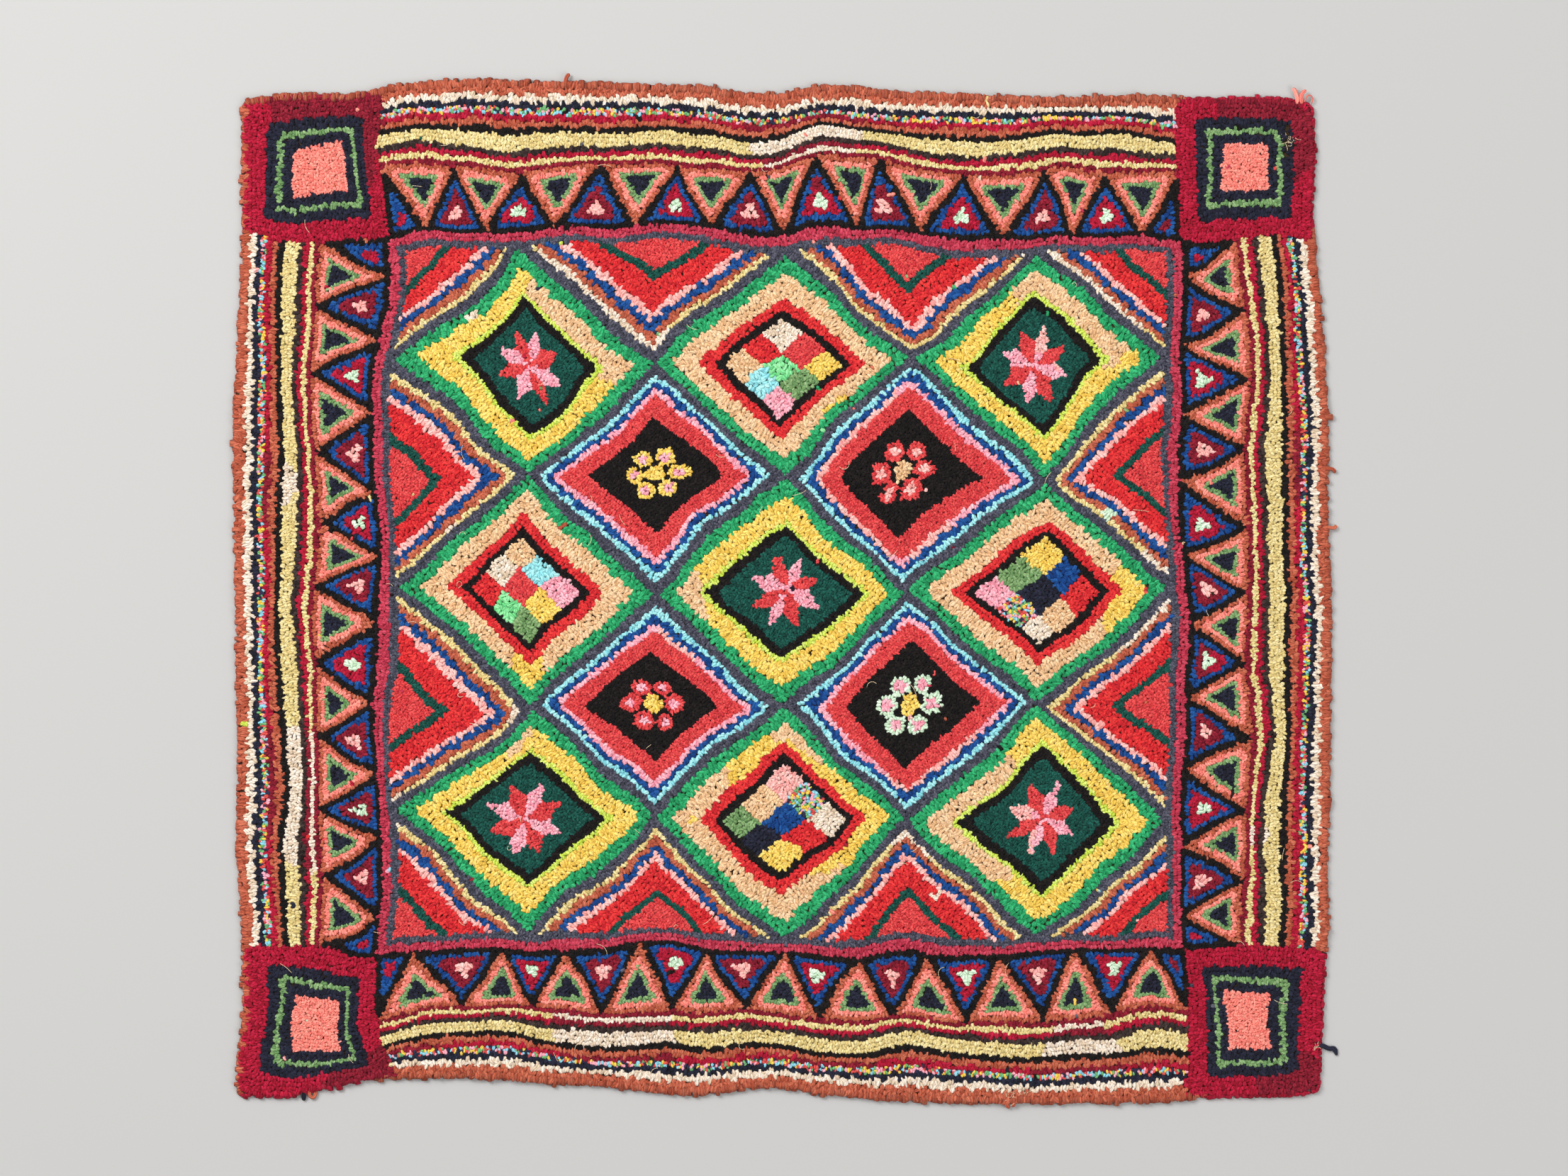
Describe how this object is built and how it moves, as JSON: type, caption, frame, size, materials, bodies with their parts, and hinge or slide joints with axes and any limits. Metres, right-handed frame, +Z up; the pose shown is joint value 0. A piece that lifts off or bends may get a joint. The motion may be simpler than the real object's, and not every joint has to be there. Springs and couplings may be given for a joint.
{
  "type": "hooked rug",
  "caption": "Nearly square hand-hooked rag rug lying flat, thick looped pile in many colours with striped border and wavering edge.",
  "frame": {"origin": "middle of the rug's box, on its underside", "axes": "+Z up out of the pile, +X along the longer side, +Y towards the far edge"},
  "size_m": [1.455, 1.358, 0.0099],
  "materials": {
    "rag_pile": "matte looped pile of cut jersey and cotton strips in many colours"
  },
  "bodies": {
    "root": {"hooked_rug": "rag_pile"}
  },
  "joints": []
}
